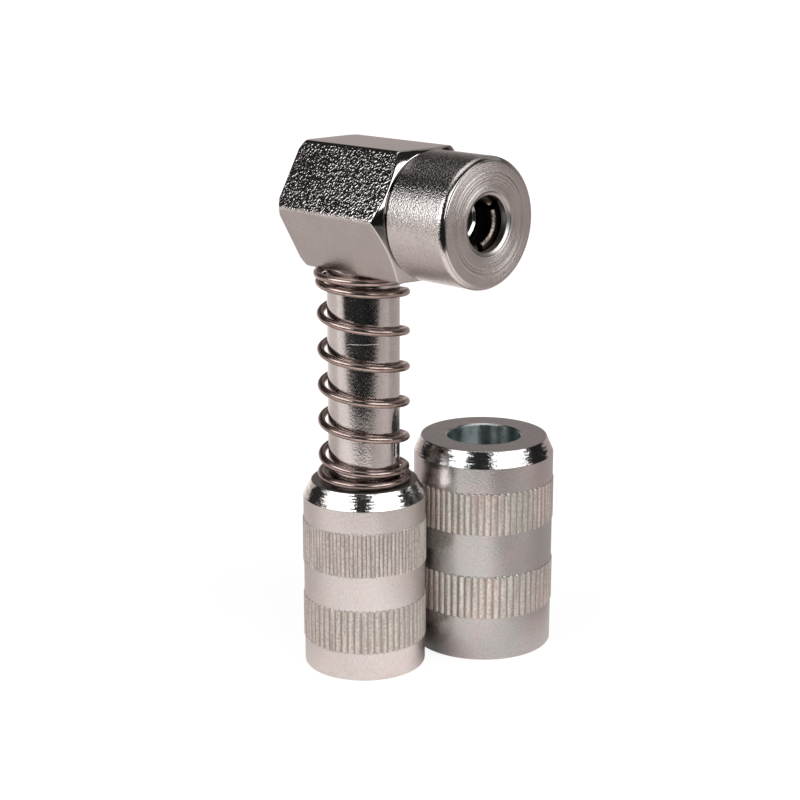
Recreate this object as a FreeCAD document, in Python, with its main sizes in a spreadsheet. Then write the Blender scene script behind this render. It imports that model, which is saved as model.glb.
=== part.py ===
import FreeCAD, Part
import math
import os
import types

import Sketcher

# Right-angle grease coupler adapter with a sprung locking sleeve and a larger spare sleeve.
# Millimetres. Z up, the stem axis is the Z axis, the nose points along +X, z = 0 is the surface
# that both sleeves stand on.

# Driving dimensions
DIMENSIONS = [
    # Stem
    ("stem_dia", 11.11),
    ("stem_end_height", 17.0),
    ("stem_bore", 3.0),
    ("spigot_dia", 9.0),
    ("spigot_length", 4.2),
    ("socket_end_gap", 0.3),
    ("drill_tip_slope", 0.6),
    # Head
    ("head_axis_height", 72.93),
    ("hex_across_flats", 19.0),
    ("hex_rear", 7.3),
    ("hex_front", 14.05),
    ("hex_edge_round", 0.4),
    ("hex_front_chamfer_dia", 18.2),
    ("hex_front_chamfer_angle", 30.0),
    ("hex_rear_chamfer_dia", 20.4),
    ("hex_rear_chamfer_angle", 45.0),
    ("spotface_dia", 12.7),
    ("spotface_depth", 0.8),
    ("cavity_floor", 6.5),
    ("check_passage", 2.0),
    ("check_seat", 2.3),
    ("check_chamber", 4.2),
    # Nose
    ("nose_dia", 18.95),
    ("nose_face", 25.6),
    ("nose_edge_round", 1.0),
    ("nose_thread_dia", 15.8),
    ("nose_groove_dia", 17.8),
    ("nose_groove_width", 0.7),
    ("nose_bore", 13.0),
    ("mouth_dia", 9.28),
    ("mouth_chamfer", 0.6),
    ("mouth_depth", 1.4),
    ("cone_start_dia", 8.6),
    ("cone_angle", 17.5),
    # Jaws
    ("jaw_depth", 2.0),
    ("jaw_length", 6.0),
    ("jaw_body_dia", 11.7),
    ("jaw_lip_dia", 6.3),
    ("jaw_lip_width", 1.0),
    ("jaw_lip_chamfer", 0.3),
    ("jaw_cavity_dia", 7.0),
    ("jaw_kerf", 1.0),
    ("jaw_turn", -25.0),
    ("jaw_washer_thickness", 1.0),
    ("jaw_washer_dia", 12.4),
    ("jaw_washer_hole", 7.2),
    ("jaw_wire", 1.0),
    ("jaw_coil_dia", 10.8),
    # Seal and its holder
    ("sealing_washer_thickness", 0.8),
    ("sealing_washer_hole", 6.8),
    ("flange_dia", 15.2),
    ("flange_thickness", 1.4),
    ("holder_dia", 6.4),
    ("holder_depth", 8.4),
    ("holder_bore", 2.4),
    ("holder_spigot_dia", 4.4),
    ("holder_spigot_length", 2.0),
    ("check_spring_seat_dia", 3.4),
    ("check_spring_seat_depth", 1.2),
    ("seal_depth", 5.5),
    ("seal_hole", 2.4),
    ("seal_mouth_dia", 5.8),
    ("seal_edge", 0.3),
    # Check valve
    ("check_ball_dia", 3.2),
    ("check_wire", 0.25),
    ("check_coil_dia", 2.2),
    # Locking sleeve
    ("sleeve_dia", 19.1),
    ("sleeve_height", 30.1),
    ("sleeve_bore", 15.9),
    ("sleeve_bore_depth", 26.0),
    ("sleeve_hole", 11.7),
    ("sleeve_chamfer_width", 1.3),
    ("sleeve_chamfer_height", 2.52),
    ("sleeve_lower_knurl", 4.31),
    ("sleeve_lower_knurl_width", 7.28),
    ("sleeve_upper_knurl", 16.83),
    ("sleeve_upper_knurl_width", 7.22),
    # Spare sleeve
    ("spare_dia", 22.42),
    ("spare_height", 34.4),
    ("spare_bore", 19.05),
    ("spare_bore_depth", 29.3),
    ("spare_hole", 11.76),
    ("spare_chamfer_width", 1.14),
    ("spare_chamfer_height", 2.55),
    ("spare_lower_knurl", 6.96),
    ("spare_lower_knurl_width", 7.18),
    ("spare_upper_knurl", 20.87),
    ("spare_upper_knurl_width", 6.94),
    ("spare_gap", 0.19),
    ("spare_direction", 72.2),
    # Knurls and edges of both sleeves
    ("knurl_height", 0.2),
    ("knurl_foot", 0.02),
    ("knurl_teeth", 60),
    ("rim_chamfer", 0.2),
    # Sleeve spring
    ("spring_wire", 1.15),
    ("spring_coil_dia", 12.96),
    ("spring_settling_pitch", 2.4),
    ("spring_turn", 225.3),
    # Stop ring
    ("ring_dia", 13.9),
    ("ring_thickness", 1.2),
    ("ring_groove_dia", 10.1),
    ("ring_opening", 30.0),
    # Coupler nipple
    ("nipple_hex", 8.0),
    ("nipple_hex_height", 4.0),
    ("nipple_thread_dia", 6.2),
    ("nipple_thread_length", 4.8),
    ("nipple_neck_dia", 4.7),
    ("nipple_neck_length", 2.0),
    ("nipple_head_dia", 6.5),
    ("nipple_shoulder", 0.7),
    ("nipple_land", 1.5),
    ("nipple_tip_length", 3.2),
    ("nipple_tip_dia", 3.4),
    ("nipple_bulge_dia", 5.7),
    ("nipple_tip_hole", 1.6),
    ("nipple_chamber_dia", 3.0),
    ("nipple_chamber_length", 6.3),
    ("nipple_seat_depth", 0.6),
    ("nipple_ball_dia", 2.4),
    ("nipple_wire", 0.2),
    ("nipple_coil_dia", 1.9),
    # Clearances
    ("thread_gap", 0.04),
    ("seat_gap", 0.02),
    ("cone_gap", 0.05),
    ("stop_gap", 0.05),
]

# Counts and plain angles, which are not sizes
FULL_TURN = 360.0
QUARTER_TURN = 90.0
HEXAGON_STEP = 60.0
ROUND_EDGE_STEPS = 3
JAW_COUNT = 3
SPRING_TOP_TURNS = 1
SPRING_OPEN_TURNS = 5
SPRING_SETTLING_TURNS = 1
SPRING_BOTTOM_TURNS = 1
JAW_SPRING_TURNS = 5
CHECK_SPRING_TURNS = 4
NIPPLE_SPRING_TURNS = 4
# Sections in a turn, and sides, of a spring's wire
SLEEVE_SPRING_DETAIL = (20, 6)
HIDDEN_SPRING_DETAIL = (12, 4)
# A share of the hexagon's width that lies outside its corners, and one just short of a whole
BEYOND_CORNERS = 0.7
NEARLY_WHOLE = 0.99


class Size:
    """A length, angle or ratio: its value now, and the sheet formula that gives it."""

    def __init__(self, value, formula):
        self.value = value
        self.formula = formula

    def __add__(self, other):
        other = as_size(other)
        return Size(self.value + other.value, f"({self.formula} + {other.formula})")

    def __sub__(self, other):
        other = as_size(other)
        return Size(self.value - other.value, f"({self.formula} - {other.formula})")

    def __mul__(self, other):
        other = as_size(other)
        return Size(self.value * other.value, f"({self.formula} * {other.formula})")

    def __truediv__(self, other):
        other = as_size(other)
        return Size(self.value / other.value, f"({self.formula} / {other.formula})")

    def __neg__(self):
        return Size(-self.value, f"(0 - {self.formula})")

    def sine(self):
        return Size(math.sin(math.radians(self.value)), f"sin({self.formula} * 1 deg)")

    def cosine(self):
        return Size(math.cos(math.radians(self.value)), f"cos({self.formula} * 1 deg)")

    def tangent(self):
        return Size(math.tan(math.radians(self.value)), f"tan({self.formula} * 1 deg)")

    def root(self):
        return Size(math.sqrt(self.value), f"sqrt({self.formula})")


def as_size(number):
    """Wraps a plain number, which stays the same whatever the sheet says."""
    if isinstance(number, Size):
        return number
    return Size(float(number), repr(float(number)))


def fill_sheet(doc):
    """Writes the driving dimensions into the sheet and returns them as sizes, by name."""
    sheet = doc.addObject("Spreadsheet::Sheet", "Sizes")
    named = {}
    for row, (name, value) in enumerate(DIMENSIONS, start=1):
        sheet.set(f"A{row}", name)
        sheet.set(f"B{row}", str(value))
        sheet.setAlias(f"B{row}", name)
        named[name] = Size(float(value), f"Sizes.{name}")
    doc.recompute()
    return types.SimpleNamespace(**named)


def new_body(doc, label):
    body = doc.addObject("PartDesign::Body", label)
    body.Label = label
    return body


def origin_of(body, role):
    """The body's own origin plane or axis of that role."""
    return next(item for item in body.Origin.OriginFeatures if item.Role == role)


def place(body, x=None, y=None, z=None, axis=None, angle=None):
    """Turns the body about one axis, then ties its position to the sheet."""
    if axis is not None:
        turn = FreeCAD.Rotation(axis, as_size(angle).value)
        body.Placement = FreeCAD.Placement(FreeCAD.Vector(), turn)
    for letter, size in (("x", x), ("y", y), ("z", z)):
        if size is not None:
            body.setExpression(f".Placement.Base.{letter}", size.formula)


def new_sketch(body, name, plane, lift=None):
    """A sketch on one of the body's origin planes, raised along the plane's normal by lift."""
    sketch = body.newObject("Sketcher::SketchObject", name)
    sketch.AttachmentSupport = [(origin_of(body, plane), "")]
    sketch.MapMode = "FlatFace"
    if lift is not None:
        sketch.setExpression(".AttachmentOffset.Base.z", lift.formula)
    return sketch


def outline(body, name, plane, corners, lift=None):
    """A closed sketch through the corners, each held from the origin by its sheet formulas."""
    sketch = new_sketch(body, name, plane, lift)
    points = [(as_size(across), as_size(up)) for across, up in corners]
    ends = points[1:] + points[:1]
    for (x_1, y_1), (x_2, y_2) in zip(points, ends):
        start = FreeCAD.Vector(x_1.value, y_1.value, 0)
        end = FreeCAD.Vector(x_2.value, y_2.value, 0)
        sketch.addGeometry(Part.LineSegment(start, end), False)
    for line in range(len(points)):
        following = (line + 1) % len(points)
        sketch.addConstraint(Sketcher.Constraint("Coincident", line, 2, following, 1))
    for line, corner in enumerate(points):
        for kind, size in zip(("DistanceX", "DistanceY"), corner):
            held = Sketcher.Constraint(kind, -1, 1, line, 1, size.value)
            number = sketch.addConstraint(held)
            if "Sizes." in size.formula:
                sketch.setExpression(f"Constraints[{number}]", size.formula)
    return sketch


def spin(body, name, plane, axis, corners, angle=FULL_TURN):
    """Turns a closed outline about one of the body's axes."""
    turned = body.newObject("PartDesign::Revolution", name)
    turned.Profile = outline(body, name + "Outline", plane, corners)
    turned.ReferenceAxis = (origin_of(body, axis), [""])
    turned.Angle = as_size(angle).value
    if isinstance(angle, Size):
        turned.setExpression("Angle", angle.formula)
    return turned


def spin_cut(body, name, plane, axis, corners):
    """Cuts away what a closed outline sweeps about one of the body's axes."""
    volume = measured(body)
    groove = body.newObject("PartDesign::Groove", name)
    groove.Profile = outline(body, name + "Outline", plane, corners)
    groove.ReferenceAxis = (origin_of(body, axis), [""])
    groove.Angle = FULL_TURN
    must_shrink(body, volume, name)
    return groove


def pad(body, name, plane, corners, length, lift=None):
    """Raises a closed outline along its plane's normal."""
    raised = body.newObject("PartDesign::Pad", name)
    raised.Profile = outline(body, name + "Outline", plane, corners, lift)
    raised.setExpression("Length", as_size(length).formula)
    return raised


def pocket(body, name, plane, corners, length, lift=None):
    """Cuts a closed outline along its plane's normal."""
    volume = measured(body)
    cut = body.newObject("PartDesign::Pocket", name)
    cut.Profile = outline(body, name + "Outline", plane, corners, lift)
    cut.Reversed = True
    cut.setExpression("Length", as_size(length).formula)
    must_shrink(body, volume, name)
    return cut


def measured(body):
    body.Document.recompute()
    return body.Shape.Volume


def must_shrink(body, volume, name):
    """A cut that points away from the solid shows no error, so its volume is compared."""
    if measured(body) >= volume:
        raise RuntimeError(f"{body.Label}: {name} removes nothing")


def round_edges(body, name, radius, wanted):
    """Rounds the edges of the body's last feature that the test picks."""
    body.Document.recompute()
    last = body.Tip
    edges = [f"Edge{i}" for i, edge in enumerate(last.Shape.Edges, start=1) if wanted(edge)]
    rounding = body.newObject("PartDesign::Fillet", name)
    rounding.Base = (last, edges)
    rounding.setExpression("Radius", radius.formula)
    return rounding


def hexagon(across_flats):
    """Corners of a hexagon with two flats square to the sketch's second axis."""
    radius = across_flats / math.sqrt(3)
    turns = [math.radians(HEXAGON_STEP * step) for step in range(6)]
    return [(radius * math.cos(turn), radius * math.sin(turn)) for turn in turns]


def wound_wire(start, turns_and_pitches, coil_radius, wire_radius, detail, left_handed):
    """A round wire wound about Z: a ruled loft through sections set square to the winding.

    The centre line is (r cos a, r sin a, z), where a grows evenly and z grows by one pitch a turn.
    """
    steps, sides = detail
    heights = [start]
    for turns, pitch in turns_and_pitches:
        heights += [heights[-1] + pitch * (step + 1) / steps for step in range(turns * steps)]
    way = -1 if left_handed else 1
    sections = []
    for number, height in enumerate(heights):
        before = heights[max(number - 1, 0)]
        after = heights[min(number + 1, len(heights) - 1)]
        rise = (after - before) / (2 * math.tau * coil_radius / steps)
        turn = way * math.tau * number / steps
        outward = FreeCAD.Vector(math.cos(turn), math.sin(turn), 0)
        along = FreeCAD.Vector(-math.sin(turn) * way, math.cos(turn) * way, rise)
        across = along.cross(outward).normalize()
        centre = outward * coil_radius + FreeCAD.Vector(0, 0, height)
        ring = []
        for side in range(sides + 1):
            angle = math.tau * side / sides
            corner = outward * math.cos(angle) + across * math.sin(angle)
            ring.append(centre + corner * wire_radius)
        sections.append(Part.makePolygon(ring))
    return Part.makeLoft(sections, True, True)


def add_spring(doc, label, shape):
    """A spring is one shape worked out from the sheet's values, as its end turns close up."""
    spring = doc.addObject("Part::Feature", label)
    spring.Label = label
    spring.Shape = shape
    return spring


def make_stem(doc, size, place_of):
    """Turned bar: nipple socket and ring groove at its lower end, spigot into the head above."""
    stem = new_body(doc, "stem")
    outer = size.stem_dia / 2
    bore = size.stem_bore / 2
    socket = size.nipple_thread_dia / 2 + size.thread_gap
    socket_top = size.stem_end_height + size.nipple_thread_length + size.socket_end_gap
    groove = size.ring_groove_dia / 2
    groove_low = place_of.ring_low - size.seat_gap
    groove_high = groove_low + size.ring_thickness + size.seat_gap * 2
    top = place_of.spotface + size.spigot_length
    spin(stem, "Bar", "XZ_Plane", "Z_Axis", [
        (socket, size.stem_end_height),
        (outer - size.rim_chamfer, size.stem_end_height),
        (outer, size.stem_end_height + size.rim_chamfer),
        (outer, groove_low),
        (groove, groove_low),
        (groove, groove_high),
        (outer, groove_high),
        (outer, place_of.spotface),
        (size.spigot_dia / 2, place_of.spotface),
        (size.spigot_dia / 2, top),
        (bore, top),
        (bore, socket_top + (socket - bore) * size.drill_tip_slope),
        (socket, socket_top),
    ])
    return stem


def make_head(doc, size):
    """Hexagon bar across the stem, bored for the stem, the check valve and the nose."""
    head = new_body(doc, "head_body")
    place(head, z=size.head_axis_height)
    flats = size.hex_across_flats
    length = size.hex_rear + size.hex_front
    pad(head, "Hexagon", "YZ_Plane", hexagon(flats), length, lift=-size.hex_rear)
    round_edges(head, "LongEdges", size.hex_edge_round,
                lambda edge: edge.Length > length.value * NEARLY_WHOLE)
    chamfer_end(head, "RearChamfer", -size.hex_rear, 1, flats,
                size.hex_rear_chamfer_dia, size.hex_rear_chamfer_angle)
    chamfer_end(head, "FrontChamfer", size.hex_front, -1, flats,
                size.hex_front_chamfer_dia, size.hex_front_chamfer_angle)
    floor = -(flats / 2) + size.spotface_depth
    socket = size.spigot_dia / 2 + size.thread_gap
    bore = size.stem_bore / 2
    socket_top = floor + size.spigot_length + size.socket_end_gap
    spin_cut(head, "StemSocket", "XZ_Plane", "Z_Axis", [
        (0, -flats),
        (size.spotface_dia / 2, -flats),
        (size.spotface_dia / 2, floor),
        (socket, floor),
        (socket, socket_top),
        (bore, socket_top + (socket - bore) * size.drill_tip_slope),
        (bore, 0),
        (0, bore),
    ])
    passage = size.check_passage / 2
    chamber = size.check_chamber / 2
    cavity = size.nose_thread_dia / 2 + size.thread_gap
    spin_cut(head, "NoseSocket", "XY_Plane", "X_Axis", [
        (0, 0),
        (0, passage),
        (size.check_seat, passage),
        (size.check_seat + (chamber - passage), chamber),
        (size.cavity_floor, chamber),
        (size.cavity_floor, cavity),
        (size.hex_front + size.hex_edge_round, cavity),
        (size.hex_front + size.hex_edge_round, 0),
    ])
    return head


def chamfer_end(head, name, end, way, flats, chamfer_dia, angle):
    """Turns the corners off one end of the bar with a cone that starts at the chamfer's circle."""
    tall = flats * BEYOND_CORNERS
    flank = chamfer_dia / 2
    reach = (tall - flank) * angle.tangent()
    spin_cut(head, name, "XY_Plane", "X_Axis", [
        (end, flank),
        (end + reach * way, tall),
        (end - reach * way, tall),
        (end - reach * way, flank),
    ])


def make_nose_cap(doc, size, place_of):
    """Screwed cap: closing cone for the jaws, a chamfered mouth, a rounded outer edge."""
    cap = new_body(doc, "nose_cap")
    place(cap, z=size.head_axis_height)
    thread = size.nose_thread_dia / 2
    bore = size.nose_bore / 2
    outer = size.nose_dia / 2
    throat = size.mouth_dia / 2 - size.mouth_chamfer
    groove = size.nose_groove_dia / 2
    groove_front = size.hex_front + size.nose_groove_width
    spin(cap, "Shell", "XY_Plane", "X_Axis", [
        (place_of.flange_front, bore),
        (place_of.flange_front, thread),
        (size.hex_front, thread),
        (size.hex_front, groove),
        (groove_front, groove),
        (groove_front, outer),
        *rounded_corner(size.nose_face, outer, size.nose_edge_round),
        (size.nose_face, size.mouth_dia / 2),
        (size.nose_face - size.mouth_chamfer, throat),
        (place_of.cone_front, throat),
        (place_of.cone_front, size.cone_start_dia / 2),
        (place_of.cone_rear, bore),
    ])
    return cap


def rounded_corner(face, outer, radius):
    """Points round a turned outside corner, from the outside to the face."""
    turns = [as_size(QUARTER_TURN * step / ROUND_EDGE_STEPS) for step in range(ROUND_EDGE_STEPS + 1)]
    centre_x = face - radius
    centre_y = outer - radius
    return [(centre_x + radius * turn.sine(), centre_y + radius * turn.cosine()) for turn in turns]


def make_jaw(doc, size, place_of, number):
    """One third of a turned collet: wedging cone outside, gripping lip at the front."""
    jaw = new_body(doc, f"jaw_{number + 1}")
    turn = size.jaw_turn.value + number * FULL_TURN / JAW_COUNT
    place(jaw, z=size.head_axis_height, axis=FreeCAD.Vector(1, 0, 0), angle=turn)
    front = size.nose_face - size.jaw_depth
    rear = front - size.jaw_length
    slope = size.cone_angle.tangent()
    rubbing = size.cone_start_dia / 2 - size.cone_gap
    front_outer = rubbing + (size.jaw_depth - size.mouth_depth) * slope
    body = size.jaw_body_dia / 2
    cone_end = place_of.cone_front - (body - rubbing) / slope
    lip = size.jaw_lip_dia / 2
    cavity = size.jaw_cavity_dia / 2
    spin(jaw, "Collet", "XY_Plane", "X_Axis", [
        (rear, cavity),
        (rear, body),
        (cone_end, body),
        (front, front_outer),
        (front, lip + size.jaw_lip_chamfer),
        (front - size.jaw_lip_chamfer, lip),
        (front - size.jaw_lip_width, lip),
        (front - size.jaw_lip_width - (cavity - lip), cavity),
    ])
    half_share = as_size(FULL_TURN / JAW_COUNT / 2)
    far = size.nose_dia
    apex = size.jaw_kerf / 2 / half_share.sine()
    side = apex + far * half_share.cosine()
    height = far * half_share.sine()
    pocket(jaw, "SawCuts", "YZ_Plane", [
        (apex, 0),
        (side, height),
        (-far, height),
        (-far, -height),
        (side, -height),
    ], size.nose_face)
    return jaw


def make_jaw_washer(doc, size, place_of):
    """Flat ring that carries the spring's push to the three jaws."""
    washer = new_body(doc, "jaw_washer")
    place(washer, z=size.head_axis_height)
    ring(washer, place_of.jaw_washer_rear, size.jaw_washer_thickness,
         size.jaw_washer_hole, size.jaw_washer_dia)
    return washer


def ring(body, rear, thickness, hole, outside):
    """A plain flat ring about the body's X axis."""
    spin(body, "Ring", "XY_Plane", "X_Axis", [
        (rear, hole / 2),
        (rear, outside / 2),
        (rear + thickness, outside / 2),
        (rear + thickness, hole / 2),
    ])


def make_sealing_washer(doc, size):
    """Soft ring that seals the holder's flange on the cavity floor."""
    washer = new_body(doc, "sealing_washer")
    place(washer, z=size.head_axis_height)
    ring(washer, size.cavity_floor, size.sealing_washer_thickness,
         size.sealing_washer_hole, size.flange_dia)
    return washer


def make_seal_holder(doc, size, place_of):
    """Flanged tube under the nose cap: seats the check spring behind, the seal in front."""
    holder = new_body(doc, "seal_holder")
    place(holder, z=size.head_axis_height)
    bore = size.holder_bore / 2
    seat = size.check_spring_seat_dia / 2
    seat_floor = place_of.flange_rear + size.check_spring_seat_depth
    tube = size.holder_dia / 2
    spigot = size.holder_spigot_dia / 2
    spigot_end = place_of.holder_front + size.holder_spigot_length
    spin(holder, "Tube", "XY_Plane", "X_Axis", [
        (place_of.flange_rear, seat),
        (place_of.flange_rear, size.flange_dia / 2),
        (place_of.flange_front, size.flange_dia / 2),
        (place_of.flange_front, tube),
        (place_of.holder_front, tube),
        (place_of.holder_front, spigot),
        (spigot_end, spigot),
        (spigot_end, bore),
        (seat_floor, bore),
        (seat_floor, seat),
    ])
    return holder


def make_grease_seal(doc, size, place_of):
    """Rubber tip that meets the fitting, pressed on the holder's spigot."""
    seal = new_body(doc, "grease_seal")
    place(seal, z=size.head_axis_height)
    tube = size.holder_dia / 2
    spigot = size.holder_spigot_dia / 2 + size.seat_gap
    spigot_end = place_of.holder_front + size.holder_spigot_length + size.seat_gap
    front = size.nose_face - size.seal_depth
    hole = size.seal_hole / 2
    mouth = size.seal_mouth_dia / 2
    spin(seal, "Tip", "XY_Plane", "X_Axis", [
        (place_of.holder_front + size.seat_gap, spigot),
        (place_of.holder_front + size.seat_gap, tube),
        (front - size.seal_edge, tube),
        (front, tube - size.seal_edge),
        (front, mouth),
        (front - (mouth - hole) / 2, hole),
        (spigot_end, hole),
        (spigot_end, spigot),
    ])
    return seal


def make_ball(doc, label, radius, x=None, z=None):
    """A hardened ball, turned from a half circle of sheet-driven radius."""
    ball = doc.addObject("Part::Sphere", label)
    ball.Label = label
    ball.setExpression("Radius", radius.formula)
    if x is not None:
        ball.setExpression(".Placement.Base.x", x.formula)
    ball.setExpression(".Placement.Base.z", z.formula)
    return ball


def make_locking_sleeve(doc, size):
    """Knurled sleeve on the stem: its shoulder rests on the stop ring."""
    sleeve = new_body(doc, "locking_sleeve")
    knurled_cup(
        sleeve, size, size.sleeve_dia, size.sleeve_height, size.sleeve_bore,
        size.sleeve_bore_depth, size.sleeve_hole,
        size.sleeve_chamfer_width, size.sleeve_chamfer_height,
        [(size.sleeve_lower_knurl, size.sleeve_lower_knurl_width),
         (size.sleeve_upper_knurl, size.sleeve_upper_knurl_width)])
    return sleeve


def make_spare_sleeve(doc, size):
    """Second, wider sleeve for a larger coupler, standing beside the adapter."""
    spare = new_body(doc, "spare_sleeve")
    spacing = (size.sleeve_dia + size.spare_dia) / 2 + size.knurl_height * 2 + size.spare_gap
    place(spare, x=spacing * size.spare_direction.cosine(), y=spacing * size.spare_direction.sine())
    knurled_cup(
        spare, size, size.spare_dia, size.spare_height, size.spare_bore,
        size.spare_bore_depth, size.spare_hole,
        size.spare_chamfer_width, size.spare_chamfer_height,
        [(size.spare_lower_knurl, size.spare_lower_knurl_width),
         (size.spare_upper_knurl, size.spare_upper_knurl_width)])
    return spare


def knurled_cup(body, size, outside, height, bore, bore_depth, hole, slant, rise, bands):
    """An upturned cup with two knurled bands, a wide slanted top edge and a top hole."""
    plain = outside / 2
    spin(body, "Cup", "XZ_Plane", "Z_Axis", [
        (bore / 2, size.rim_chamfer),
        (bore / 2 + size.rim_chamfer, 0),
        (plain - size.rim_chamfer, 0),
        (plain, size.rim_chamfer),
        (plain, height - rise),
        (plain - slant, height),
        (hole / 2 + size.rim_chamfer, height),
        (hole / 2, height - size.rim_chamfer),
        (hole / 2, bore_depth),
        (bore / 2, bore_depth),
    ])
    for number, (low, width) in enumerate(bands, start=1):
        knurl_band(body, f"Knurl{number}", size, plain, low, width)


def knurl_band(body, name, size, plain, low, width):
    """Straight ridges round the sleeve: one tooth, repeated so that the ridges' feet meet."""
    half_share = as_size(FULL_TURN / 2) / size.knurl_teeth
    foot = plain + size.knurl_foot
    sunk = plain - size.knurl_height
    tooth = pad(body, name, "XY_Plane", [
        (plain + size.knurl_height, 0),
        (foot * half_share.cosine(), foot * half_share.sine()),
        (sunk * half_share.cosine(), sunk * half_share.sine()),
        (sunk * half_share.cosine(), -(sunk * half_share.sine())),
        (foot * half_share.cosine(), -(foot * half_share.sine())),
    ], width, lift=low)
    pattern = body.newObject("PartDesign::PolarPattern", name + "Teeth")
    pattern.Originals = [tooth]
    pattern.Axis = (origin_of(body, "Z_Axis"), [""])
    pattern.Angle = FULL_TURN
    pattern.setExpression("Occurrences", size.knurl_teeth.formula)
    body.Tip = pattern


def make_sleeve_spring(doc, size):
    """Left-hand wound wire between the sleeve and the head, its end turns closed."""
    wire = size.spring_wire.value
    closed = wire + size.seat_gap.value
    bottom = size.sleeve_height.value + closed - wire / 2
    under_head = size.head_axis_height.value - size.hex_across_flats.value / 2
    top = under_head - closed + wire / 2
    settling = size.spring_settling_pitch.value
    ends = closed * (SPRING_BOTTOM_TURNS + SPRING_TOP_TURNS) + settling * SPRING_SETTLING_TURNS
    pitch = (top - bottom - ends) / SPRING_OPEN_TURNS
    winding = [
        (SPRING_BOTTOM_TURNS, closed),
        (SPRING_SETTLING_TURNS, settling),
        (SPRING_OPEN_TURNS, pitch),
        (SPRING_TOP_TURNS, closed),
    ]
    shape = wound_wire(
        bottom, winding, size.spring_coil_dia.value / 2, wire / 2, SLEEVE_SPRING_DETAIL, True)
    spring = add_spring(doc, "sleeve_spring", shape)
    turned = FreeCAD.Rotation(FreeCAD.Vector(0, 0, 1), size.spring_turn.value)
    spring.Placement = FreeCAD.Placement(FreeCAD.Vector(), turned)
    return spring


def make_hidden_spring(doc, label, wire, coil_dia, start, end, turns):
    """A short plain spring that stands on Z between two heights."""
    pitch = (end - start - wire).value / turns
    radius = wire.value / 2
    shape = wound_wire(
        start.value + radius, [(turns, pitch)], coil_dia.value / 2, radius,
        HIDDEN_SPRING_DETAIL, False)
    return add_spring(doc, label, shape)


def lay_along_nose(spring, size):
    """Turns a spring built on Z so that it lies on the head's axis, its height along +X."""
    over = FreeCAD.Rotation(FreeCAD.Vector(0, 1, 0), QUARTER_TURN)
    height = FreeCAD.Vector(0, 0, size.head_axis_height.value)
    spring.Placement = FreeCAD.Placement(height, over)
    return spring


def make_stop_ring(doc, size, place_of):
    """Open snap ring in the stem's groove: the sleeve's shoulder comes down on it."""
    stop = new_body(doc, "stop_ring")
    opening = size.ring_opening
    place(stop, axis=FreeCAD.Vector(0, 0, 1), angle=opening / 2)
    inner = size.ring_groove_dia / 2 + size.seat_gap
    low = place_of.ring_low
    spin(stop, "OpenRing", "XZ_Plane", "Z_Axis", [
        (inner, low),
        (size.ring_dia / 2, low),
        (size.ring_dia / 2, low + size.ring_thickness),
        (inner, low + size.ring_thickness),
    ], angle=as_size(FULL_TURN) - opening)
    return stop


def make_nipple(doc, size, place_of):
    """Grease nipple screwed up into the stem: thread, hexagon, neck and ball-valve head."""
    nipple = new_body(doc, "coupler_nipple")
    thread = size.nipple_thread_dia / 2
    neck = size.nipple_neck_dia / 2
    head = size.nipple_head_dia / 2
    tip = size.nipple_tip_dia / 2
    hole = size.nipple_tip_hole / 2
    chamber = size.nipple_chamber_dia / 2
    top = size.stem_end_height + size.nipple_thread_length
    bulge = size.nipple_bulge_dia / 2
    bulge_height = (place_of.land_low + place_of.nipple_tip) / 2
    spin(nipple, "Turned", "XZ_Plane", "Z_Axis", [
        (0, place_of.nipple_tip),
        (tip, place_of.nipple_tip),
        (bulge, bulge_height),
        (head, place_of.land_low),
        (head, place_of.land_high),
        (neck, place_of.land_high + size.nipple_shoulder),
        (neck, size.stem_end_height),
        (thread, size.stem_end_height),
        (thread, top),
        (0, top),
    ])
    pad(nipple, "Spanner", "XY_Plane", hexagon(size.nipple_hex), size.nipple_hex_height,
        lift=place_of.hex_low)
    seat = place_of.nipple_seat
    spin_cut(nipple, "GreaseWay", "XZ_Plane", "Z_Axis", [
        (0, place_of.nipple_tip - size.nipple_seat_depth),
        (hole, place_of.nipple_tip - size.nipple_seat_depth),
        (hole, seat),
        (chamber, seat + (chamber - hole)),
        (chamber, place_of.chamber_top),
        (hole, place_of.chamber_top),
        (hole, top + size.nipple_seat_depth),
        (0, top + size.nipple_seat_depth),
    ])
    return nipple


def work_out_places(size):
    """Heights and distances that several pieces share, from the driving dimensions."""
    at = types.SimpleNamespace()
    at.spotface = size.head_axis_height - size.hex_across_flats / 2 + size.spotface_depth
    at.flange_rear = size.cavity_floor + size.sealing_washer_thickness
    at.flange_front = at.flange_rear + size.flange_thickness
    at.cone_front = size.nose_face - size.mouth_depth
    cone_growth = (size.nose_bore - size.cone_start_dia) / 2
    at.cone_rear = at.cone_front - cone_growth / size.cone_angle.tangent()
    at.holder_front = size.nose_face - size.holder_depth
    at.jaw_washer_front = size.nose_face - size.jaw_depth - size.jaw_length - size.seat_gap
    at.jaw_washer_rear = at.jaw_washer_front - size.jaw_washer_thickness
    at.ring_low = size.sleeve_bore_depth - size.stop_gap - size.ring_thickness
    at.hex_low = size.stem_end_height - size.nipple_hex_height
    at.land_high = at.hex_low - size.nipple_neck_length - size.nipple_shoulder
    at.land_low = at.land_high - size.nipple_land
    at.nipple_tip = at.land_low - size.nipple_tip_length
    at.nipple_seat = at.nipple_tip + size.nipple_seat_depth
    at.chamber_top = at.nipple_seat + size.nipple_chamber_length
    at.nipple_ball = seated_ball(at.nipple_seat, size.nipple_tip_hole, size.nipple_ball_dia, size)
    at.check_ball = seated_ball(size.check_seat, size.check_passage, size.check_ball_dia, size)
    return at


def seated_ball(seat, hole, ball, size):
    """Centre of a ball on a seat that opens at 45 degrees from a hole's end, a hair off it."""
    return seat - hole / 2 + (ball / 2 + size.seat_gap) * math.sqrt(2)


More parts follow.
